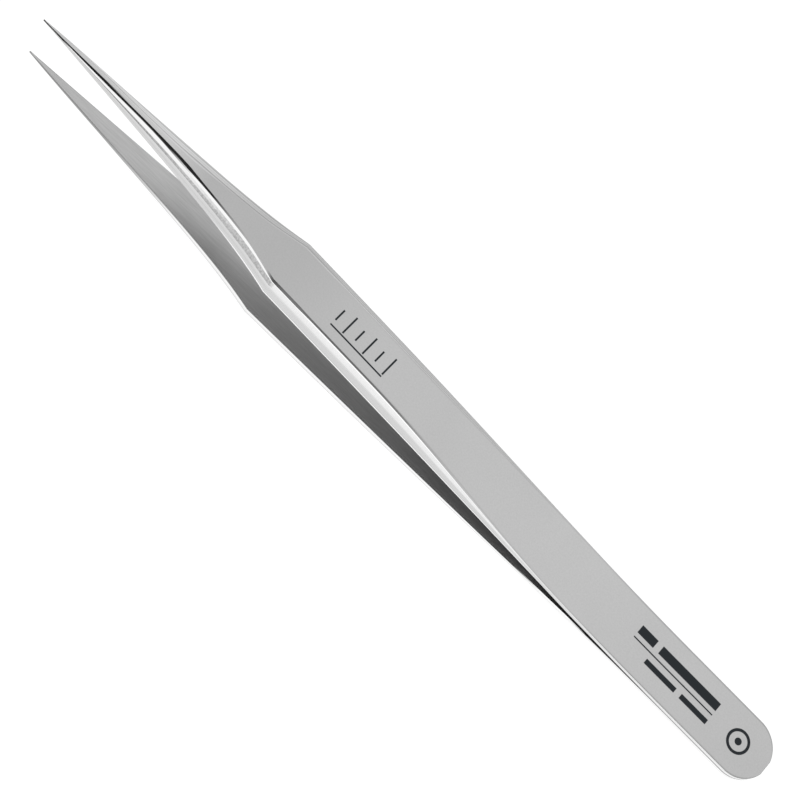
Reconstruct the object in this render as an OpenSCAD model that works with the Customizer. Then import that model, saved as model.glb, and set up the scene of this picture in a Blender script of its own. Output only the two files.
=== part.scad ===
// Fine point tweezers: two slim steel blades, welded face to face at the heel and curling apart
// into a long pair of arms. Each arm is thin where it springs, thick where the fingers hold it,
// and ground to a needle point past a sharp shoulder.
//
// The parting plane between the blades is drawn flat at first, with X running from the heel end
// to the points. The finished tweezers are then tilted to lie as they come to rest, on the heel
// end and on the belly of the lower arm, with the points off the table.

/* [Overall] */
// Length from the heel end to the points
length = 82.5; // [78:0.5:100]
// Width of each blade along the spring and the grip
blade_w = 5.4; // [4.5:0.1:8]
// Clear gap between the two points while nothing squeezes them
tip_gap = 6.2; // [5:0.1:8]

/* [Heel and spring] */
// Length over which the two blades lie face to face and are welded
weld_len = 11; // [9:0.5:12]
// Thickness of one blade at the heel and along the spring
spring_t = 0.45; // [0.35:0.05:0.6]
// Width of the small flat on the rounded heel end
heel_flat = 1.4; // [0.6:0.1:3]
// Length of the curl in which a blade bends away from the parting plane
curl_len = 10.5; // [9:0.5:12]

/* [Grip] */
// Thickness of one blade where it is held
grip_t = 1.5; // [1.2:0.05:2]
// Length over which the thin spring swells into the thick grip
swell_len = 23; // [18:0.5:24]
// Width of the bevel along each outer edge of the grip
grip_bevel_w = 0.65; // [0.3:0.05:0.9]
// Height of the bevel along each outer edge of the grip
grip_bevel_h = 0.6; // [0.3:0.05:0.65]

/* [Points] */
// Length of the ground taper from the shoulder to the point
taper_len = 27; // [25:0.5:29]
// Extra width that the hollow flanks gain just before the shoulder
flank_rise = 1.4; // [0.4:0.1:1.8]
// Width of the very tip
tip_w = 0.12; // [0.08:0.01:0.4]
// Thickness of the very tip of one blade
tip_t = 0.1; // [0.08:0.01:0.3]
// Width of the wide bevel ground along the outer edges of the taper
taper_bevel_w = 0.82; // [0.4:0.02:1]
// Height of the wide bevel ground along the outer edges of the taper
taper_bevel_h = 0.6; // [0.2:0.02:0.65]

/* [Edges] */
// Size of the broken edge where there is no bevel
edge_break = 0.04; // [0.02:0.01:0.08]
// Hairline left at the flexure, so that each arm can turn on the heel
flexure_clear = 0.015; // [0.012:0.001:0.02]

/* [Hidden] */
$fn = 96;

// Stations along the blade
curl_end = weld_len + curl_len;
swell_end = curl_end + swell_len;
shoulder_x = length - taper_len;

// The arm turns on the heel half way along the curl, where the blade bends most
flexure_x = (weld_len + curl_end) / 2;

// The inner face leaves the parting plane along a parabola and then keeps on, ever straighter.
// The spread ratio is the share of its steepest slope that is left at the point.
spread_ratio = 0.25;
spread_len = length - curl_end;
steepest = (tip_gap / 2) / (curl_len / 2 + spread_len * (1 + spread_ratio) / 2);

// Exponents of the hollow flanks and of the thinning towards the point
flank_power = 6.5;
thinning_power = 1.7;

// Share of the taper over which its bevel grows from the point, and over which it blends
// into the bevel of the grip
bevel_growth = 0.6;
bevel_blend = 0.15;

// Where the bevel is creased between its two facets, as shares of its width and height
crease_w = 0.45;
crease_h = 0.3;

// The most that a bevel may take of the width and of the thickness
bevel_share_w = 0.37;
bevel_share_t = 0.45;

// Longest step between two cross-sections
step = 1;

// Ease from 0 to 1 with level ends
function ease(u) = let (v = max(0, min(1, u))) v * v * (3 - 2 * v);
function mix(a, b, u) = a + (b - a) * u;

// Share of the taper that lies between x and the point: 0 at the point, 1 at the shoulder
function taper_share(x) = min(1, (length - x) / taper_len);

// Height of the inner face above the parting plane
function inner_z(x) =
    x <= weld_len ? 0 :
    x <= curl_end ? steepest * pow(x - weld_len, 2) / (2 * curl_len) :
    let (run = x - curl_end)
    steepest * (curl_len / 2 + run - (1 - spread_ratio) * run * run / (2 * spread_len));

function thickness(x) =
    x >= shoulder_x ? mix(grip_t, tip_t, pow(1 - taper_share(x), thinning_power)) :
    mix(spring_t, grip_t, ease((x - curl_end) / swell_len));

function outer_z(x) = inner_z(x) + thickness(x);

function width(x) =
    let (t = taper_share(x))
    tip_w + (blade_w - tip_w - flank_rise) * t + flank_rise * pow(t, flank_power);

// Bevel of the spring and grip, and bevel of the taper, blended across the shoulder
function grip_share(x) = ease((x - curl_end) / swell_len);
function shoulder_blend(x) = ease((1 - taper_share(x)) / bevel_blend);
function growth(x) = ease(taper_share(x) / bevel_growth);
function bevel_w(x) = min(
    bevel_share_w * width(x),
    mix(mix(edge_break, grip_bevel_w, grip_share(x)),
        mix(edge_break, taper_bevel_w, growth(x)), shoulder_blend(x)));
function bevel_h(x) = min(
    bevel_share_t * thickness(x),
    mix(mix(edge_break, grip_bevel_h, grip_share(x)),
        mix(edge_break, taper_bevel_h, growth(x)), shoulder_blend(x)));

// Cross-section of an arm at x: flat inner face, upright flank, creased bevel, flat outer face
function half_section(x) =
    let (half = width(x) / 2, top = outer_z(x), bw = bevel_w(x), bh = bevel_h(x))
    [
        [half, inner_z(x)],
        [half, top - bh],
        [half - bw * (1 - crease_w), top - bh * crease_h],
        [half - bw, top],
    ];
function section(x) =
    let (right = half_section(x), n = len(right))
    concat(
        [for (p = right) [x, p[0], p[1]]],
        [for (i = [n - 1 : -1 : 0]) [x, -right[i][0], right[i][1]]]);

// Even stations from one x to another, no further apart than the step
function stations(from, to) =
    let (count = ceil((to - from) / step))
    [for (i = [0 : count]) mix(from, to, i / count)];
function tail(list) = [for (i = [1 : len(list) - 1]) list[i]];
arm_start = flexure_x + flexure_clear;
arm_stations = concat(
    stations(arm_start, swell_end),
    tail(stations(swell_end, shoulder_x)),
    tail(stations(shoulder_x, length)));

// Slope of the line that the heel end and the belly share when the tweezers lie on a table
rest_slope = max([for (x = arm_stations) (outer_z(x) - spring_t) / x]);
rest_angle = atan(rest_slope);
back_x = -spring_t * sin(rest_angle);
front_x = length * cos(rest_angle) + outer_z(length) * sin(rest_angle);

// Lays the flat-drawn tweezers on the table, with the origin under the middle of their length
module lie_down() {
    translate([-(back_x + front_x) / 2, 0, spring_t * cos(rest_angle)])
        rotate([0, -rest_angle, 0])
            children();
}

// Outline of the heel seen from above: a round end with a small flat, then parallel sides
module heel_outline() {
    end_r = blade_w / 2;
    centre_x = sqrt(end_r * end_r - pow(heel_flat / 2, 2));
    intersection() {
        translate([0, -end_r])
            square([flexure_x, blade_w]);
        union() {
            translate([centre_x, 0])
                circle(r = end_r);
            translate([centre_x, -end_r])
                square([flexure_x - centre_x, blade_w]);
        }
    }
}

// Side view of the heel of the upper blade: flat along the weld, then the start of the curl
module heel_profile() {
    curl_stations = stations(weld_len, flexure_x);
    inner = [for (x = curl_stations) [x, inner_z(x)]];
    outer = [for (i = [len(curl_stations) - 1 : -1 : 0])
        [curl_stations[i], outer_z(curl_stations[i])]];
    polygon(concat([[0, 0]], inner, outer, [[0, spring_t]]));
}

module blade_heel() {
    intersection() {
        linear_extrude(height = tip_gap)
            heel_outline();
        translate([0, blade_w, 0])
            rotate([90, 0, 0])
                linear_extrude(height = 2 * blade_w)
                    heel_profile();
    }
}

// One arm, swept through its cross-sections from the flexure to the point
module blade_arm() {
    rings = [for (x = arm_stations) section(x)];
    sides = len(rings[0]);
    last = len(rings) - 1;
    points = [for (ring = rings) each ring];
    skin = [
        for (i = [0 : last - 1], j = [0 : sides - 1])
            let (
                a = i * sides + j,
                b = i * sides + (j + 1) % sides,
                c = a + sides,
                d = b + sides)
            each [[a, b, d], [a, d, c]]
    ];
    back_cap = [for (j = [sides - 1 : -1 : 0]) j];
    front_cap = [for (j = [0 : sides - 1]) last * sides + j];
    polyhedron(points = points, faces = concat([back_cap], skin, [front_cap]));
}

module upper_heel() {
    color("silver")
        lie_down()
            blade_heel();
}

module lower_heel() {
    color("lightgray")
        lie_down()
            mirror([0, 0, 1])
                blade_heel();
}

module upper_arm() {
    color("silver")
        lie_down()
            blade_arm();
}

module lower_arm() {
    color("darkgray")
        lie_down()
            mirror([0, 0, 1])
                blade_arm();
}

upper_heel();
lower_heel();
upper_arm();
lower_arm();
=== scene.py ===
import math

import bpy
from mathutils import Matrix, Vector


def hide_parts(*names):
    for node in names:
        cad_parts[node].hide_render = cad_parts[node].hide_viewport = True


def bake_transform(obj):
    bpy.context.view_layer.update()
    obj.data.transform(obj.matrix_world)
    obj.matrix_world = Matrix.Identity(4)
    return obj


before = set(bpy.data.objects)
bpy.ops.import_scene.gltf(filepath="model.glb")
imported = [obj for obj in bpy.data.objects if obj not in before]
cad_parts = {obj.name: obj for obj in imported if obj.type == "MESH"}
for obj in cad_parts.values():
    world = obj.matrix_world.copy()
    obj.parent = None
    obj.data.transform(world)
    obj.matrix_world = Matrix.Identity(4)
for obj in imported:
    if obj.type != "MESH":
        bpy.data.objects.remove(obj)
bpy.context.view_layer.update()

# The upper blade
# One strip of hardened stainless steel, thin and flat at the welded heel, thick at the grip and
# ground to a needle point. It is blanked, tapered in thickness, curled at the spring, ground on
# its flanks and inside, and blasted with fine glass bead on its outer face.
MM = 0.001

# Sizes in millimetres, and places along the blade, which count from the heel end
LENGTH = 82.5
BLADE_WIDTH = 5.4
TIP_GAP = 6.2
WELD_LENGTH = 11.0
CURL_LENGTH = 10.5
SWELL_LENGTH = 23.0
TAPER_LENGTH = 27.0
HEEL_FLAT = 1.4
SPRING_THICKNESS = 0.45
GRIP_THICKNESS = 1.5
TIP_WIDTH = 0.12
TIP_THICKNESS = 0.1
FLANK_RISE = 1.4
CURL_END = WELD_LENGTH + CURL_LENGTH
SHOULDER = LENGTH - TAPER_LENGTH

# How sharply the flanks rise to the shoulder, and how the blade thins towards the point
FLANK_POWER = 6.5
THINNING_POWER = 1.7

# The steepest slope of the inner face, at the end of the curl, and the share of it that is left at
# the point
SPREAD_LENGTH = LENGTH - CURL_END
SPREAD_RATIO = 0.25
STEEPEST = (TIP_GAP / 2) / (CURL_LENGTH / 2 + SPREAD_LENGTH * (1 + SPREAD_RATIO) / 2)

# The rounded heel end: its radius, and how far in its centre lies
HEEL_RADIUS = BLADE_WIDTH / 2
HEEL_CENTRE = math.sqrt(HEEL_RADIUS**2 - (HEEL_FLAT / 2) ** 2)

# Bevels of the outer edges, width and height in millimetres, and the broken edge where there is
# no bevel
GRIP_BEVEL = (0.65, 0.6)
TAPER_BEVEL = (0.82, 0.6)
EDGE_BREAK = 0.04

# Shares of the taper over which its bevel grows from the point and blends into the grip's. Then
# come, across and down, where the bevel is creased and the most that it takes of the blade.
BEVEL_GROWTH = 0.6
BEVEL_BLEND = 0.15
BEVEL_CREASE = (0.45, 0.3)
BEVEL_LIMIT = (0.37, 0.45)


def mix(a, b, share):
    return a + (b - a) * share


def ease(share):
    """Goes from 0 to 1 with level ends."""
    share = max(0.0, min(1.0, share))
    return share * share * (3 - 2 * share)


def taper_share(x):
    """Share of the taper between x and the point: 0 at the point, 1 from the shoulder back."""
    return max(0.0, min(1.0, (LENGTH - x) / TAPER_LENGTH))


def inner_height(x):
    """Height of the inner face above the parting plane."""
    if x <= WELD_LENGTH:
        return 0.0
    if x <= CURL_END:
        return STEEPEST * (x - WELD_LENGTH) ** 2 / (2 * CURL_LENGTH)
    run = x - CURL_END
    straightened = (1 - SPREAD_RATIO) * run * run / (2 * SPREAD_LENGTH)
    return STEEPEST * (CURL_LENGTH / 2 + run - straightened)


def thickness(x):
    if x >= SHOULDER:
        return mix(GRIP_THICKNESS, TIP_THICKNESS, (1 - taper_share(x)) ** THINNING_POWER)
    return mix(SPRING_THICKNESS, GRIP_THICKNESS, ease((x - CURL_END) / SWELL_LENGTH))


def half_width(x):
    """Half the blade's width, rounded off at the heel end down to its small flat."""
    if x < HEEL_CENTRE:
        return math.sqrt(HEEL_RADIUS**2 - (HEEL_CENTRE - x) ** 2)
    share = taper_share(x)
    straight = TIP_WIDTH + (BLADE_WIDTH - TIP_WIDTH - FLANK_RISE) * share
    return (straight + FLANK_RISE * share**FLANK_POWER) / 2


def bevel(x, axis):
    """Width (axis 0) or height (axis 1) of the bevel at x."""
    grip = mix(EDGE_BREAK, GRIP_BEVEL[axis], ease((x - CURL_END) / SWELL_LENGTH))
    taper = mix(EDGE_BREAK, TAPER_BEVEL[axis], ease(taper_share(x) / BEVEL_GROWTH))
    size = mix(grip, taper, ease((1 - taper_share(x)) / BEVEL_BLEND))
    room = thickness(x) if axis else 2 * half_width(x)
    return min(size, BEVEL_LIMIT[axis] * room)


# Radius in millimetres of the edge between the outer face and the flank, which shows as a dark
# line: along the spring and the grip, and two places where it swells, each with its place along
# the blade, its reach and its extra radius
LINE_SPRING = 0.06
LINE_GRIP = 0.085
LINE_SWELLS = [(SHOULDER - 1.6, 1.7, 0.08), (SHOULDER + 13, 2.8, 0.11)]

# Radius of the edge between the flank and the inner face, and of the two creases of the flank,
# which are soft along the grip and crisp along the taper and change round the shoulder
INNER_EDGE = 0.05
GRIP_CREASE = 0.3
TAPER_CREASE = 0.07
CREASE_CHANGE = 2.0


def line_radius(x):
    along = mix(LINE_SPRING, LINE_GRIP, ease((x - CURL_END) / SWELL_LENGTH))
    swells = [size * math.exp(-(((x - place) / reach) ** 2)) for place, reach, size in LINE_SWELLS]
    return along + sum(swells)


def crease_radius(x):
    past_start = x - SHOULDER + CREASE_CHANGE / 2
    return mix(GRIP_CREASE, TAPER_CREASE, ease(past_start / CREASE_CHANGE))


# Steps in which a corner is rounded, and the most of the shorter flat beside it that it may take
ARC_STEPS = 4
ARC_LIMIT = 0.38

# How far past a rounding the flat's own point lies: a share of the rounding and a little more, up
# to a share of the shorter flat
SUPPORT_SHARE = 0.25
SUPPORT_MORE = 0.01
SUPPORT_LIMIT = 0.08


def rounded(corners):
    """Points along a section whose corners are rounded. Each corner is a place, a radius, a share
    across the flank, and the finishes of its arc and of the flat after it. Each point is y, z,
    share and the finish of the strip that starts there. A point just outside each rounding keeps
    the flats flat when they are shaded."""
    points = []
    for i, (place, radius, share, arc, flat) in enumerate(corners):
        if radius == 0:
            points.append((*place, share, flat))
            continue
        corner = Vector(place)
        back = Vector(corners[i - 1][0]) - corner
        ahead = Vector(corners[i + 1][0]) - corner
        shorter = min(back.length, ahead.length)
        reach = min(radius, ARC_LIMIT * shorter)
        support = min(SUPPORT_SHARE * reach + SUPPORT_MORE, SUPPORT_LIMIT * shorter)
        start = corner + back.normalized() * reach
        end = corner + ahead.normalized() * reach
        points.append((*(start + back.normalized() * support), share, corners[i - 1][4]))
        for step in range(ARC_STEPS + 1):
            t = step / ARC_STEPS
            bend = start * (1 - t) ** 2 + corner * 2 * t * (1 - t) + end * t * t
            points.append((*bend, share, arc if step < ARC_STEPS else flat))
        points.append((*(end + ahead.normalized() * support), share, flat))
    return points


# The rim of the outer face, beside the line: its width as a multiple of the line's radius, and
# the most that it may take of the face
RIM_PER_RADIUS = 2.7
RIM_LIMIT = 0.9


def half_section(x):
    """One side of the section at x, from the middle of the inner face round to the middle of the
    outer face. The share across the flank is 0 at the outer edge, a third at the bevel's crease,
    two thirds at the top of the upright wall and 1 at the inner edge. On the outer face it is -1,
    and it climbs to 0 across the rim."""
    half, low = half_width(x), inner_height(x)
    top = low + thickness(x)
    wide, high = bevel(x, 0), bevel(x, 1)
    crease = (half - wide * (1 - BEVEL_CREASE[0]), top - high * BEVEL_CREASE[1])
    flat = half - wide
    rim = flat - min(RIM_LIMIT * flat, RIM_PER_RADIUS * line_radius(x))
    return rounded(
        [
            ((0.0, low), 0, 1.0, "inner", "inner"),
            ((half, low), INNER_EDGE, 1.0, "flank", "flank"),
            ((half, top - high), crease_radius(x), 2 / 3, "flank", "flank"),
            (crease, crease_radius(x), 1 / 3, "flank", "flank"),
            ((flat, top), line_radius(x), 0.0, "line", "outer"),
            ((rim, top), 0, -1.0, "outer", "outer"),
            ((0.0, top), 0, -1.0, "outer", "outer"),
        ]
    )


# Cross-sections: steps round the heel end, and the longest step in millimetres past it
HEEL_TURNS = 28
LONGEST_STEP = 0.25


def blade_stations():
    """Places of the cross-sections: close together round the heel end, then evenly to the
    shoulder, and evenly to the point."""
    first = math.acos(HEEL_CENTRE / HEEL_RADIUS)
    angles = [mix(first, math.pi / 2, i / HEEL_TURNS) for i in range(HEEL_TURNS)]
    xs = [HEEL_CENTRE - HEEL_RADIUS * math.cos(a) for a in angles]
    for start, end in ((HEEL_CENTRE, SHOULDER), (SHOULDER, LENGTH)):
        count = math.ceil((end - start) / LONGEST_STEP)
        xs += [mix(start, end, i / count) for i in range(count)]
    return xs + [LENGTH]


# The tweezers lie on the heel end and the belly of the lower blade, which tilts them. The belly is
# looked for in even steps along the swell and the grip.
BELLY_STEPS = 400
rest_slope = max(
    (inner_height(x) + thickness(x) - SPRING_THICKNESS) / x
    for x in (mix(CURL_END, SHOULDER, i / BELLY_STEPS) for i in range(BELLY_STEPS + 1))
)
rest_angle = math.atan(rest_slope)
tip_outer = TIP_GAP / 2 + TIP_THICKNESS
back_end = -SPRING_THICKNESS * math.sin(rest_angle)
front_end = LENGTH * math.cos(rest_angle) + tip_outer * math.sin(rest_angle)


def lay_down(x, y, z):
    """A point of the flat-drawn tweezers, in millimetres, as it lies on the table, in metres."""
    sine, cosine = math.sin(rest_angle), math.cos(rest_angle)
    along = x * cosine - z * sine - (back_end + front_end) / 2
    return Vector((along, y, x * sine + z * cosine + SPRING_THICKNESS * cosine)) * MM


# The finishes of a blade, in the order of its materials
FINISHES = ["inner", "flank", "line", "outer"]


def blade_mesh(name, side):
    """The whole blade as one closed mesh; side is 1 for the upper blade and -1 for the lower. Its
    points keep their flat-drawn place and their share across the flank, for the materials."""
    xs = blade_stations()
    verts, places, shares, finishes = [], [], [], []
    for x in xs:
        right = half_section(x)
        left = [(-y, z, share) for y, z, share, _ in right[-2:0:-1]]
        for y, z, share in [point[:3] for point in right] + left:
            verts.append(lay_down(x, y, side * z))
            places.append((x, y, z))
            shares.append(share)
        strips = [point[3] for point in right[:-1]]
        finishes += strips + strips[::-1]
    ring = len(verts) // len(xs)
    faces = []
    for i in range(len(xs) - 1):
        for j in range(ring):
            a, b = i * ring + j, i * ring + (j + 1) % ring
            faces.append((a, b, b + ring, a + ring)[::side])
    faces.append(tuple(range(ring))[::-side])
    faces.append(tuple(range((len(xs) - 1) * ring, len(xs) * ring))[::side])
    mesh = bpy.data.meshes.new(name)
    mesh.from_pydata(verts, [], faces)
    place_data = mesh.attributes.new("blade_place", "FLOAT_VECTOR", "POINT").data
    place_data.foreach_set("vector", [number for place in places for number in place])
    share_data = mesh.attributes.new("flank_share", "FLOAT", "POINT").data
    share_data.foreach_set("value", shares)
    ends = {len(faces) - 2, len(faces) - 1}
    for polygon in mesh.polygons:
        finish = "flank" if polygon.index in ends else finishes[polygon.index]
        polygon.material_index = FINISHES.index(finish)
        polygon.use_smooth = polygon.index not in ends
    blade = bpy.data.objects.new(name, mesh)
    bpy.context.collection.objects.link(blade)
    return blade


def linear(code):
    """The linear colour of an sRGB hex code."""
    parts = [int(code[i : i + 2], 16) / 255 for i in (1, 3, 5)]
    return [c / 12.92 if c <= 0.04045 else ((c + 0.055) / 1.055) ** 2.4 for c in parts] + [1.0]


def add_node(tree, kind, inputs=None, stops=None, **settings):
    """Adds a node with its settings and links. Inputs go by name or number: a node stands for its
    first output in use. In a map range 1 and 2 are where the value starts and ends, and 3 and 4
    what it becomes there. In a mix 0 is the share of tone 7 over tone 6. Stops fill a colour
    ramp, each with a place and an sRGB code."""
    node = tree.nodes.new(kind)
    for key, value in settings.items():
        setattr(node, key, value)
    for key, value in (inputs or {}).items():
        if isinstance(value, bpy.types.Node):
            value = next(socket for socket in value.outputs if socket.enabled)
        if isinstance(value, bpy.types.NodeSocket):
            tree.links.new(value, node.inputs[key])
        else:
            node.inputs[key].default_value = value
    if stops:
        elements = node.color_ramp.elements
        while len(elements) < len(stops):
            elements.new(0.5)
        for element, (place, code) in zip(elements, stops):
            element.position = place
            element.color = linear(code)
    return node


def new_material(name):
    material = bpy.data.materials.new(name)
    material.use_nodes = True
    material.node_tree.nodes.clear()
    return material, material.node_tree


def blade_places(tree):
    """Sockets for the flat-drawn place in millimetres, its parts along and across the blade, and
    the share across the flank."""
    place = add_node(tree, "ShaderNodeAttribute", attribute_name="blade_place").outputs["Vector"]
    parts = add_node(tree, "ShaderNodeSeparateXYZ", {0: place}).outputs
    share = add_node(tree, "ShaderNodeAttribute", attribute_name="flank_share").outputs["Fac"]
    return place, parts[0], parts[1], share


def tone_along(tree, along, stops):
    """A tone that changes along the blade, from places in millimetres and sRGB codes."""
    share = add_node(tree, "ShaderNodeMath", {0: along, 1: LENGTH}, operation="DIVIDE")
    stops = [(place / LENGTH, code) for place, code in stops]
    return add_node(tree, "ShaderNodeValToRGB", {0: share}, stops)


# Where the near side of the blade starts and is full, across it in millimetres, and the far side
NEAR_SIDE = (0.0, 0.02)
FAR_SIDE = (0.0, -0.02)


def area(tree, *ramps):
    """A mask of one area of the blade, 1 where all its ramps are full. Each ramp is a value, where
    it is empty and where it is full."""
    mask = 1.0
    for value, empty, full in ramps:
        ramp = add_node(tree, "ShaderNodeMapRange", {"Value": value, 1: empty, 2: full})
        mask = add_node(tree, "ShaderNodeMath", {0: mask, 1: ramp}, operation="MULTIPLY")
    return mask


# The part of a noise that holds most of its grains
NOISE_RANGE = {1: 0.3, 2: 0.7}


def grain_pattern(tree, place, size, detail=3.0):
    """Noise about 0.5 whose grains have this size in millimetres along the three axes."""
    finer = tuple(1 / length for length in size)
    scaled = add_node(tree, "ShaderNodeVectorMath", {0: place, 1: finer}, operation="MULTIPLY")
    return add_node(tree, "ShaderNodeTexNoise", {"Vector": scaled, "Scale": 1.0, "Detail": detail})


def bare_steel(tree, base, roughness, relief=None, depth=0.0):
    """A bare steel surface. The relief is a height map, and depth is its height in millimetres."""
    inputs = {"Base Color": base, "Metallic": 1.0, "Roughness": roughness}
    if relief is not None:
        heights = {"Strength": 1.0, "Distance": depth * MM, "Height": relief}
        inputs["Normal"] = add_node(tree, "ShaderNodeBump", heights)
    steel = add_node(tree, "ShaderNodeBsdfPrincipled", inputs)
    add_node(tree, "ShaderNodeOutputMaterial", {"Surface": steel})


# Shapes etched by laser, in millimetres. On the grip there is a little scale, of long and short
# ticks over a baseline.
TICK_START = 44.3
TICK_PITCH = 1.12
TICK_COUNT = 6
TICK_MIDDLE = -0.05
TICK_HALF_LINE = 0.08
TICK_HALF_HEIGHTS = (0.92, 0.58)
BASELINE_ACROSS = 1.05
BASELINE_HALF_LINE = 0.07
SCALE_HALF = TICK_PITCH * (TICK_COUNT - 1) / 2

# Bars of the scale and of the label on the heel, each with its middle along the blade and across
# it, its half length and its half height
BARS = [
    (TICK_START + TICK_PITCH * i, TICK_MIDDLE, TICK_HALF_LINE, TICK_HALF_HEIGHTS[i % 2])
    for i in range(TICK_COUNT)
]
BARS += [
    (TICK_START + SCALE_HALF, BASELINE_ACROSS, SCALE_HALF + TICK_HALF_LINE, BASELINE_HALF_LINE),
    (9.4, -0.8, 3.3, 0.4),
    (14.2, -0.8, 0.9, 0.4),
    (10.6, 0.05, 4.5, 0.06),
    (7.6, 0.85, 1.5, 0.24),
    (11.4, 0.85, 1.7, 0.24),
]

# The ring with a dot beside the label, and half the soft edge of all the shapes
RING_PLACE = (3.1, 0.05)
RING_RADIUS = 0.95
RING_HALF_LINE = 0.13
DOT_RADIUS = 0.32
ETCHED_EDGE = 0.01


def etched_mask(tree, place):
    """1 inside the etched shapes and 0 outside, with edges a fiftieth of a millimetre soft, as a
    laser leaves them. Each shape gives the distance to its edge, and the nearest one counts."""
    flat = add_node(tree, "ShaderNodeVectorMath", {0: place, 1: (1, 1, 0)}, operation="MULTIPLY")
    distances = []
    for along, across, half_length, half_height in BARS:
        middle = {0: flat, 1: (along, across, 0)}
        away = add_node(tree, "ShaderNodeVectorMath", middle, operation="SUBTRACT")
        away = add_node(tree, "ShaderNodeVectorMath", {0: away}, operation="ABSOLUTE")
        halves = {0: away, 1: (half_length, half_height, 0)}
        past = add_node(tree, "ShaderNodeVectorMath", halves, operation="SUBTRACT")
        sides = add_node(tree, "ShaderNodeSeparateXYZ", {0: past}).outputs
        sides = {0: sides[0], 1: sides[1]}
        distances.append(add_node(tree, "ShaderNodeMath", sides, operation="MAXIMUM"))
    middle = {0: flat, 1: (*RING_PLACE, 0)}
    spoke = add_node(tree, "ShaderNodeVectorMath", middle, operation="DISTANCE")
    off_ring = add_node(tree, "ShaderNodeMath", {0: spoke, 1: RING_RADIUS}, operation="SUBTRACT")
    off_ring = add_node(tree, "ShaderNodeMath", {0: off_ring}, operation="ABSOLUTE")
    for reach, half in ((off_ring, RING_HALF_LINE), (spoke, DOT_RADIUS)):
        past = {0: reach, 1: half}
        distances.append(add_node(tree, "ShaderNodeMath", past, operation="SUBTRACT"))
    nearest = distances[0]
    for distance in distances[1:]:
        nearest = add_node(tree, "ShaderNodeMath", {0: nearest, 1: distance}, operation="MINIMUM")
    return area(tree, (nearest, ETCHED_EDGE, -ETCHED_EDGE))


# Tones of the outer face along the blade, of its etched marks, of the painted shade on its rim and
# of the painted dark reflection beside the near edge of the point
FACE_TONES = [
    (0.0, "#BCBCBC"),
    (11.0, "#BDBDBD"),
    (19.0, "#C0C0C0"),
    (26.0, "#C4C4C4"),
    (32.0, "#C3C3C3"),
    (38.0, "#BEBEBE"),
    (45.0, "#BCBCBC"),
    (51.0, "#B4B4B4"),
    (55.0, "#B0B0B0"),
    (64.5, "#B1B1B1"),
    (69.0, "#C6C6C6"),
    (82.5, "#C8C8C8"),
]
# The rim's grey is painted shade and the black beside the near edge is a painted dark reflection;
# the laser black is the etching's own colour
RIM_PAINTED_SHADE = "#808080"
LASER_BLACK = "#34383B"
PAINTED_REFLECTION_BLACK = "#242424"

# The bead leaves pits about 0.05 mm wide, drawn wider here so that they show, over faint clouds.
# The two patterns are added, so each shades the face by about a half.
BEAD_GRAIN = (0.14, 0.14, 0.14)
BEAD_DEPTH = 0.0014
BEAD_SHADES = {3: 0.44, 4: 0.56}
CLOUDS = (6.0, 6.0, 6.0)
CLOUD_DETAIL = 2.0
CLOUD_SHADES = {3: 0.485, 4: 0.515}
BLASTED_ROUGHNESS = {3: 0.36, 4: 0.46}
ETCHED_ROUGHNESS = 0.6

# How much painted shade darkens the rim: a quarter from the heel to the grip, fading out on it,
# and more at the weld, fading out along the curl. Then come the shares across the rim where the
# shade sets in.
RIM_SHADE_FADES = [{1: 42.0, 2: 52.0, 3: 0.25, 4: 0.0}, {1: 15.0, 2: 21.0, 3: 0.3, 4: 0.0}]
RIM_SHARES = (-0.9, -0.2)

# Where the strip of painted dark reflection on the outer face starts, along the blade and across
# the rim
STRIP_START = (LENGTH - 9.5, LENGTH - 7.0)
STRIP_SHARES = (-0.6, -0.5)


def blasted_steel(name, marked):
    """Stainless steel blasted with fine glass bead: an even fine-grained grey with a soft wide
    gloss, a little lighter along the spring and at the point, and darker along its rim, which is
    painted shade. Where it is etched it is a dull bluish black, and beside the near edge of the
    point it has a painted dark reflection."""
    material, tree = new_material(name)
    place, along, across, share = blade_places(tree)
    grain = grain_pattern(tree, place, BEAD_GRAIN)
    clouds = grain_pattern(tree, place, CLOUDS, CLOUD_DETAIL)
    speckle = {"Value": grain, **NOISE_RANGE, **BEAD_SHADES}
    drift = {"Value": clouds, **NOISE_RANGE, **CLOUD_SHADES}
    shades = [add_node(tree, "ShaderNodeMapRange", part) for part in (speckle, drift)]
    shade = add_node(tree, "ShaderNodeMath", dict(enumerate(shades)), operation="ADD")
    face = tone_along(tree, along, FACE_TONES)
    base = add_node(tree, "ShaderNodeVectorMath", {0: face, "Scale": shade}, operation="SCALE")
    rough = {"Value": grain, **NOISE_RANGE, **BLASTED_ROUGHNESS}
    rough = add_node(tree, "ShaderNodeMapRange", rough)

    # Painted shade on the rim, painted dark reflection in the strip, and etched shapes, one over
    # the other
    rim_shade_fades = [add_node(tree, "ShaderNodeMapRange", {"Value": along, **rim_fade}) for rim_fade in RIM_SHADE_FADES]
    rim_shade = add_node(tree, "ShaderNodeMath", dict(enumerate(rim_shade_fades)), operation="ADD")
    rim = area(tree, (share, *RIM_SHARES))
    rim_shade = add_node(tree, "ShaderNodeMath", {0: rim_shade, 1: rim}, operation="MULTIPLY")
    strip = area(tree, (across, *NEAR_SIDE), (along, *STRIP_START), (share, *STRIP_SHARES))
    layers = [(rim_shade, RIM_PAINTED_SHADE), (strip, PAINTED_REFLECTION_BLACK)]
    if marked:
        etched = etched_mask(tree, place)
        layers.append((etched, LASER_BLACK))
        dull = {0: etched, 1: ETCHED_ROUGHNESS}
        dull = add_node(tree, "ShaderNodeMath", dull, operation="MULTIPLY")
        rough = add_node(tree, "ShaderNodeMath", {0: rough, 1: dull}, operation="MAXIMUM")
    for mask, code in layers:
        layer = {0: mask, 6: base, 7: linear(code)}
        base = add_node(tree, "ShaderNodeMix", layer, data_type="RGBA")
    bare_steel(tree, base, rough, grain, BEAD_DEPTH)
    return material
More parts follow.
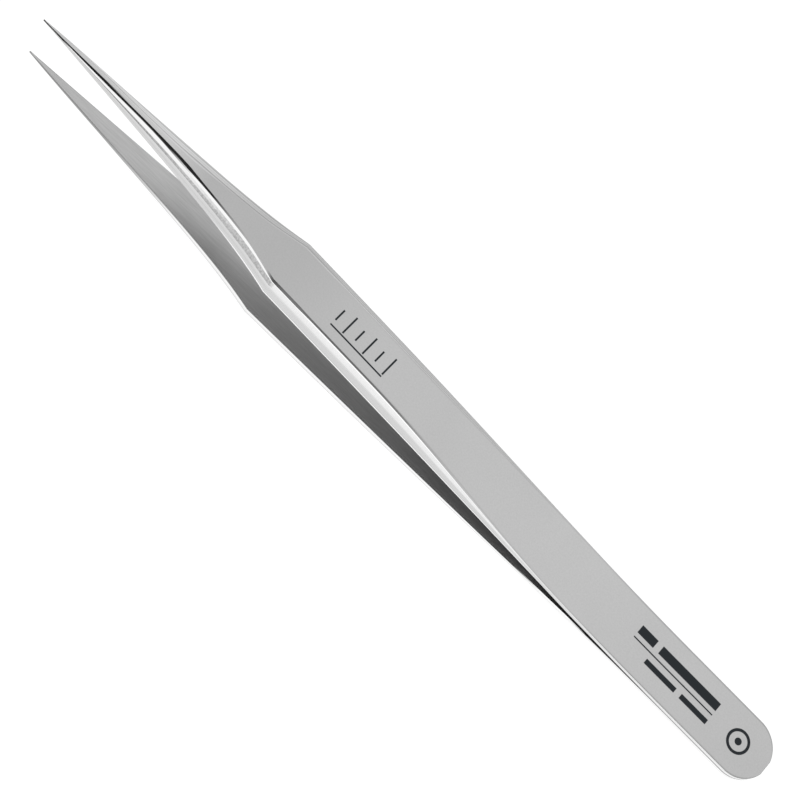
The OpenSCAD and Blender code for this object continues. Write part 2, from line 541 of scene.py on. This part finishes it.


# Tones across the polished bevel by share, on the grip and on the taper, and the places between
# which the one passes into the other. The near-white tones are polished steel lightened by a
# painted reflection, lightest at the top of the bevel.
GRIP_BEVEL_STOPS = [(0.0, "#F8F8F8"), (0.3, "#F0F0F0"), (0.42, "#E1E1E1"), (0.65, "#D6D6D6")]
TAPER_BEVEL_STOPS = [(0.0, "#ECECEC"), (0.35, "#E8E8E8"), (0.65, "#C4C4C4")]
SHOULDER_CHANGE = (SHOULDER - 1, SHOULDER + 1)

# Shares between which the bevel passes into the upright wall, and the wall's tones, a darker
# painted reflection
WALL_SHARES = (0.5, 0.85)
WALL_TONES = [
    (0.0, "#F2F2F2"),
    (16.0, "#E4E4E4"),
    (30.0, "#C6C6C6"),
    (50.0, "#C6C6C6"),
    (56.0, "#CECECE"),
]


def polished_flank(tree, along, share, wall_tones):
    """Tone of the polished flank, lightened by a painted reflection: the bevel, and the upright
    wall, which is a little darker.
    """
    bevels = [
        add_node(tree, "ShaderNodeValToRGB", {0: share}, stops)
        for stops in (GRIP_BEVEL_STOPS, TAPER_BEVEL_STOPS)
    ]
    on_taper = area(tree, (along, *SHOULDER_CHANGE))
    tone = {0: on_taper, 6: bevels[0], 7: bevels[1]}
    tone = add_node(tree, "ShaderNodeMix", tone, data_type="RGBA")
    on_wall = area(tree, (share, *WALL_SHARES))
    tone = {0: on_wall, 6: tone, 7: tone_along(tree, along, wall_tones)}
    return add_node(tree, "ShaderNodeMix", tone, data_type="RGBA")


# The dull facet: its middle and half width, as shares across the flank, which settle past the
# shoulder, where its oval end starts and closes, and how soft its edge is
FACET_MIDDLE = {1: SHOULDER, 2: SHOULDER + 5, 3: 0.365, 4: 0.44}
FACET_HALF = {1: SHOULDER, 2: SHOULDER + 13, 3: 0.135, 4: 0.095}
FACET_END = (SHOULDER + 2.0, SHOULDER - 0.4)
FACET_EDGE = (1.15, 0.75)

# Its grains, in millimetres, are those of a coarse belt. It is a little darker towards the wall,
# and much darker towards the point.
FACET_GRAIN = (0.12, 0.16, 0.16)
FACET_TONES = ("#A4A4A4", "#CCCCCC")
FACET_TO_WALL = {1: -1.0, 2: 1.0, 3: 1.02, 4: 0.86}
FACET_TO_POINT = {1: 66.0, 2: 76.0, 3: 1.0, 4: 0.55}


def dull_facet(tree, along, share, grain):
    """Mask and tone of the facet of coarser grinding along the taper, which has two straight sides
    and an oval end at the shoulder. A faint trace of it runs on along the crease of the grip."""
    middle = add_node(tree, "ShaderNodeMapRange", {"Value": along, **FACET_MIDDLE})
    half = add_node(tree, "ShaderNodeMapRange", {"Value": along, **FACET_HALF})
    off_middle = add_node(tree, "ShaderNodeMath", {0: share, 1: middle}, operation="SUBTRACT")
    off_middle = add_node(tree, "ShaderNodeMath", {0: off_middle, 1: half}, operation="DIVIDE")
    squares = [
        add_node(tree, "ShaderNodeMath", {0: part, 1: part}, operation="MULTIPLY")
        for part in (off_middle, area(tree, (along, *FACET_END)))
    ]
    oval = add_node(tree, "ShaderNodeMath", dict(enumerate(squares)), operation="ADD")
    mask = area(tree, (oval, *FACET_EDGE))
    speckle = add_node(tree, "ShaderNodeMapRange", {"Value": grain, **NOISE_RANGE})
    tone = {0: speckle, 6: linear(FACET_TONES[0]), 7: linear(FACET_TONES[1])}
    tone = add_node(tree, "ShaderNodeMix", tone, data_type="RGBA")
    fades = [{"Value": off_middle, **FACET_TO_WALL}, {"Value": along, **FACET_TO_POINT}]
    fades = [add_node(tree, "ShaderNodeMapRange", fade) for fade in fades]
    fade = add_node(tree, "ShaderNodeMath", dict(enumerate(fades)), operation="MULTIPLY")
    tone = add_node(tree, "ShaderNodeVectorMath", {0: tone, "Scale": fade}, operation="SCALE")
    return mask, tone


# The far bevel: the shares where the wall ends and it starts, its tones, and how dark its lower
# part is, on the grip and on the taper. The darker lower part is a painted dark reflection.
FAR_BEVEL_SHARES = (0.66, 0.6)
FAR_BEVEL_TONES = [
    (0.0, "#D4D4D4"),
    (54.0, "#D4D4D4"),
    (57.0, "#CCCCCC"),
    (62.0, "#DADADA"),
    (68.0, "#EFEFEF"),
]
FAR_LOWER_SHARES = {1: 0.3, 2: 0.42, 3: 1.0}
FAR_LOWEST = {1: SHOULDER_CHANGE[0], 2: SHOULDER_CHANGE[1], 3: 0.2, 4: 0.58}


def far_bevel(tree, along, across, share):
    """Mask and tone of the far bevel, which keeps the satin of the face and has a painted dark
    reflection below its crease."""
    mask = area(tree, (across, *FAR_SIDE), (share, *FAR_BEVEL_SHARES))
    lowest = add_node(tree, "ShaderNodeMapRange", {"Value": along, **FAR_LOWEST})
    lower = {"Value": share, **FAR_LOWER_SHARES, 4: lowest}
    lower = add_node(tree, "ShaderNodeMapRange", lower)
    tone = {0: tone_along(tree, along, FAR_BEVEL_TONES), "Scale": lower}
    return mask, add_node(tree, "ShaderNodeVectorMath", tone, operation="SCALE")


# How far the painted dark reflection reaches across the near flank, in shares: it narrows to a
# strip, and widens again to nearly the whole flank at the point. The largest of the three counts.
DARK_REFLECTION_REACHES = [
    {1: SHOULDER + 12, 2: SHOULDER + 15.5, 3: 0.2, 4: 0.05},
    {1: SHOULDER + 14, 2: LENGTH - 2.5, 3: 0.07, 4: 0.18},
    {1: LENGTH - 4.5, 2: LENGTH, 3: 0.0, 4: 0.8},
]
DARK_REFLECTION_START = (SHOULDER + 10, SHOULDER + 13)
DARK_REFLECTION_EDGE = (0.07, -0.07)


def flank_painted_reflection(tree, along, across, share):
    """Mask of the part of the near flank that has a painted dark reflection, beside the outer
    edge.
    """
    reach = 0.0
    for limits in DARK_REFLECTION_REACHES:
        part = add_node(tree, "ShaderNodeMapRange", {"Value": along, **limits})
        reach = add_node(tree, "ShaderNodeMath", {0: reach, 1: part}, operation="MAXIMUM")
    past = add_node(tree, "ShaderNodeMath", {0: share, 1: reach}, operation="SUBTRACT")
    sides = [(past, *DARK_REFLECTION_EDGE), (across, *NEAR_SIDE), (along, *DARK_REFLECTION_START)]
    return area(tree, *sides)


# The arris, the broken edge between the wall and the inner face: its tones, a painted highlight
# that is white and turns grey towards the point, the share where it starts, how softly, and where
# it starts along the blade
ARRIS_TONES = [(59.0, "#FFFFFF"), (63.0, "#CECECE")]
ARRIS_SHARE = 0.91
ARRIS_SOFT = 0.03
ARRIS_START = (23.0, 26.0)

# The seam between the two heels, painted with shade that darkens into the curl, where the gap
# between the blades opens, and ends there
SEAM_TONES = [(0.0, "#A8A8A8"), (9.0, "#A0A0A0"), (11.2, "#7C7C7C"), (12.4, "#2C2C2C")]
SEAM_SHARES = (0.94, 0.98)
SEAM_END = (20.0, 18.0)

# Height of the flank's grain in millimetres, and the roughness of polished and of satin steel
FLANK_DEPTH = 0.001
FLANK_ROUGHNESS = {3: 0.2, 4: 0.42}


def polished_steel(name, wall_tones, arris_tones, arris_share):
    """The same steel, ground and polished on the near flank, with a tight gloss. Its tone, nearly
    white and a little darker on the upright wall, is polished steel lightened by a painted
    reflection. The arris has its own tones, a painted highlight on the upper blade and a painted
    dark reflection on the lower. Along the taper a facet of coarser grinding is left dull between
    two bright strips. The far bevel keeps the satin of the face, with a painted dark reflection
    below its crease, and the near edge has a painted dark reflection out to the point."""
    material, tree = new_material(name)
    place, along, across, share = blade_places(tree)
    grain = grain_pattern(tree, place, FACET_GRAIN)
    arris_shares = (arris_share, arris_share + ARRIS_SOFT)
    arris = area(tree, (share, *arris_shares), (across, *NEAR_SIDE), (along, *ARRIS_START))
    dull, dull_tone = dull_facet(tree, along, share, grain)
    far, far_tone = far_bevel(tree, along, across, share)
    seam = area(tree, (along, *SEAM_END), (share, *SEAM_SHARES))
    layers = [
        (arris, tone_along(tree, along, arris_tones)),
        (dull, dull_tone),
        (far, far_tone),
        (flank_painted_reflection(tree, along, across, share), linear(PAINTED_REFLECTION_BLACK)),
        (seam, tone_along(tree, along, SEAM_TONES)),
    ]
    base = polished_flank(tree, along, share, wall_tones)
    for mask, tone in layers:
        base = add_node(tree, "ShaderNodeMix", {0: mask, 6: base, 7: tone}, data_type="RGBA")
    satin = add_node(tree, "ShaderNodeMath", {0: dull, 1: far}, operation="MAXIMUM")
    rough = add_node(tree, "ShaderNodeMapRange", {"Value": satin, **FLANK_ROUGHNESS})
    bare_steel(tree, base, rough, grain, FLANK_DEPTH)
    return material


# Tones of the edge along the near side, painted as a dark line of reflection, and along the far
# side
NEAR_LINE_TONES = [
    (0.0, "#3C3C3C"),
    (11.0, "#505050"),
    (19.0, "#BCBCBC"),
    (32.0, "#BEBEBE"),
    (38.0, "#A2A2A2"),
    (41.0, "#7C7C7C"),
    (45.0, "#686868"),
    (50.0, "#646464"),
    (52.5, "#727272"),
    (54.2, "#727272"),
    (55.6, "#484848"),
    (56.4, "#B0B0B0"),
    (59.0, "#B0B0B0"),
    (61.5, "#8C8C8C"),
    (63.5, "#2A2A2A"),
    (82.5, "#1C1C1C"),
]
FAR_LINE_TONES = [(0.0, "#C8C8C8"), (50.0, "#C6C6C6"), (62.0, "#B2B2B2"), (68.2, "#CCCCCC")]
EDGE_LINE_ROUGHNESS = 0.3


def edge_painted_reflection(name):
    """The edge between the outer face and the flank, smooth and polished. On the near side its
    tone
    is a painted dark reflection: nearly black along the taper, grey beside the grip, as light as
    the face along the spring and dark round the heel. On the far side it stays as light as the
    bevel."""
    material, tree = new_material(name)
    _, along, across, _ = blade_places(tree)
    near = area(tree, (across, *NEAR_SIDE))
    lines = [tone_along(tree, along, stops) for stops in (FAR_LINE_TONES, NEAR_LINE_TONES)]
    base = {0: near, 6: lines[0], 7: lines[1]}
    base = add_node(tree, "ShaderNodeMix", base, data_type="RGBA")
    bare_steel(tree, base, EDGE_LINE_ROUGHNESS)
    return material


# Tones of the inner face along the blade, painted dark towards the weld as shade between the
# blades
INSIDE_TONES = [
    (0.0, "#303030"),
    (19.0, "#484848"),
    (25.0, "#B4B4B4"),
    (38.0, "#B6B6B6"),
    (44.0, "#B8B8B8"),
    (51.0, "#B8B8B8"),
    (56.0, "#BBBBBB"),
    (58.5, "#B7B7B7"),
    (61.0, "#ACACAC"),
    (65.0, "#ACACAC"),
    (68.0, "#B4B4B4"),
    (82.5, "#B6B6B6"),
]

# Streaks of the belt, 3 mm long. They are 0.04 mm wide, drawn wider here so that they show.
STREAK = (3.0, 0.1, 0.1)
STREAK_DETAIL = 4.0
STREAK_DEPTH = 0.0006
STREAK_SHADES = {3: 0.92, 4: 1.08}
GROUND_ROUGHNESS = 0.38


def belt_ground_steel(name):
    """The inner face, ground lengthwise on a belt: a half gloss with fine streaks along the blade.
    Towards the weld it is painted dark, as shade between the blades."""
    material, tree = new_material(name)
    place, along, _, _ = blade_places(tree)
    streaks = grain_pattern(tree, place, STREAK, STREAK_DETAIL)
    shade = {"Value": streaks, **NOISE_RANGE, **STREAK_SHADES}
    shade = add_node(tree, "ShaderNodeMapRange", shade)
    base = {0: tone_along(tree, along, INSIDE_TONES), "Scale": shade}
    base = add_node(tree, "ShaderNodeVectorMath", base, operation="SCALE")
    bare_steel(tree, base, GROUND_ROUGHNESS, streaks, STREAK_DEPTH)
    return material


upper_blade = blade_mesh("upper_blade", 1)
inside_steel = belt_ground_steel("belt_ground_steel")
edge_steel = edge_painted_reflection("edge_steel_painted_reflection")
for finish in (
    inside_steel,
    polished_steel("polished_flank_steel", WALL_TONES, ARRIS_TONES, ARRIS_SHARE),
    edge_steel,
    blasted_steel("bead_blasted_steel_etched", True),
):
    upper_blade.data.materials.append(finish)
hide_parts("upper_heel", "upper_arm")
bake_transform(upper_blade)

# The lower blade
# The same strip turned over and spot welded to the upper one at the heel, face to face. Its outer
# face lies on the table, and its inner face shows between the arms, with a near arris painted as
# dark as that face, a painted dark reflection of the gap between the arms. Its flank has its own
# copy of the polished steel, with a lighter painted reflection on the wall. It has no marks.
# Tones of the lower wall, a painted reflection lighter than on the upper blade, nearly white and
# turning grey towards the point; then the arris, painted dark as a reflection of the gap between
# the arms, and the share where it starts
LOWER_WALL_TONES = [
    (0.0, "#FCFCFC"),
    (65.0, "#F4F4F4"),
    (68.0, "#C8C8C8"),
    (71.0, "#A0A0A0"),
    (74.0, "#8A8A8A"),
    (82.5, "#808080"),
]
LOWER_ARRIS_TONES = [
    (26.0, "#404040"),
    (45.0, "#5C5C5C"),
    (60.0, "#7C7C7C"),
    (66.0, "#949494"),
    (71.0, "#949494"),
    (75.0, "#868686"),
]
LOWER_ARRIS_SHARE = 0.955
lower_blade = blade_mesh("lower_blade", -1)
lower_flank = polished_steel(
    "polished_flank_steel_low", LOWER_WALL_TONES, LOWER_ARRIS_TONES, LOWER_ARRIS_SHARE
)
for finish in (
    inside_steel,
    lower_flank,
    edge_steel,
    blasted_steel("bead_blasted_steel", False),
):
    lower_blade.data.materials.append(finish)
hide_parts("lower_heel", "lower_arm")
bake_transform(lower_blade)

# The table
# A wide top of matt white laminate. It shows white to the camera and in the steel, and keeps a
# pale shadow under the tweezers.
TABLE_HALF = 3.0
TABLE_CORNERS = [(-1, -1), (1, -1), (1, 1), (-1, 1)]
LAMINATE = "#868686"
LAMINATE_GLOW = 0.86
table_mesh = bpy.data.meshes.new("table")
table_mesh.from_pydata(
    [(x * TABLE_HALF, y * TABLE_HALF, 0) for x, y in TABLE_CORNERS], [], [(0, 1, 2, 3)]
)
table = bpy.data.objects.new("table", table_mesh)
bpy.context.collection.objects.link(table)
laminate, tree = new_material("matt_white_laminate")
path = add_node(tree, "ShaderNodeLightPath").outputs
seen = {0: path["Is Camera Ray"], 1: path["Is Glossy Ray"]}
seen = add_node(tree, "ShaderNodeMath", seen, operation="MAXIMUM")
seen = {0: seen, 1: path["Is Transmission Ray"]}
seen = add_node(tree, "ShaderNodeMath", seen, operation="MAXIMUM")
lift = add_node(tree, "ShaderNodeMath", {0: seen, 1: LAMINATE_GLOW}, operation="MULTIPLY")
paint = add_node(tree, "ShaderNodeBsdfDiffuse", {"Color": linear(LAMINATE)})
glow = add_node(tree, "ShaderNodeEmission", {"Color": linear("#FFFFFF"), "Strength": lift})
surface = add_node(tree, "ShaderNodeAddShader", {0: paint, 1: glow})
add_node(tree, "ShaderNodeOutputMaterial", {"Surface": surface})
table_mesh.materials.append(laminate)

# The light
# A pale room, a wide softbox above the far side, and a big one on the near side, from the floor
# to overhead, that whitens the flanks.
ROOM_LEVEL = 0.7
world = bpy.data.worlds.new("pale_room")
bpy.context.scene.world = world
world.use_nodes = True
tree = world.node_tree
tree.nodes.clear()
path = add_node(tree, "ShaderNodeLightPath").outputs
level = {"Value": path["Is Camera Ray"], 3: ROOM_LEVEL, 4: 1.0}
level = add_node(tree, "ShaderNodeMapRange", level)
room = add_node(tree, "ShaderNodeBackground", {"Color": linear("#FFFFFF"), "Strength": level})
add_node(tree, "ShaderNodeOutputWorld", {"Surface": room})


def softbox(name, place, size, level):
    """A rectangular lamp aimed at the tweezers, with its place and size in metres; level is what
    it adds to the room behind it."""
    lamp = bpy.data.lights.new(name, "AREA")
    lamp.shape = "RECTANGLE"
    lamp.size, lamp.size_y = size
    lamp.energy = level * math.pi * size[0] * size[1]
    box = bpy.data.objects.new(name, lamp)
    bpy.context.collection.objects.link(box)
    box.location = place
    box.rotation_euler = (-Vector(place)).to_track_quat("-Z", "Y").to_euler()


softbox("far_softbox", place=(-0.05, -0.25, 0.5), size=(0.5, 0.3), level=0.56)
softbox("near_softbox", place=(0.0, 0.46, 0.47), size=(1.0, 1.28), level=0.47)

# The camera
# It looks down on the near side of the tweezers at 66 degrees, from about 19 centimetres away,
# with the points at the upper left.
CAMERA_PLACE = Vector((-2.845, 77.816, 177.708)) * MM
CAMERA_AIM = Vector((0.4, -0.22, 2.97)) * MM
CAMERA_UP = Vector((0.6918, -0.6544, 0.3051))
LENS = 107.7
SENSOR = 36
CLIP = (0.01, 20)
lens = bpy.data.cameras.new("camera")
lens.lens = LENS
lens.sensor_width = SENSOR
lens.clip_start, lens.clip_end = CLIP
camera = bpy.data.objects.new("camera", lens)
bpy.context.collection.objects.link(camera)
forward = (CAMERA_AIM - CAMERA_PLACE).normalized()
right = forward.cross(CAMERA_UP).normalized()
turn = Matrix((right, right.cross(forward), -forward)).transposed()
camera.matrix_world = Matrix.Translation(CAMERA_PLACE) @ turn.to_4x4()
bpy.context.scene.camera = camera
bpy.context.scene.view_settings.view_transform = "Standard"
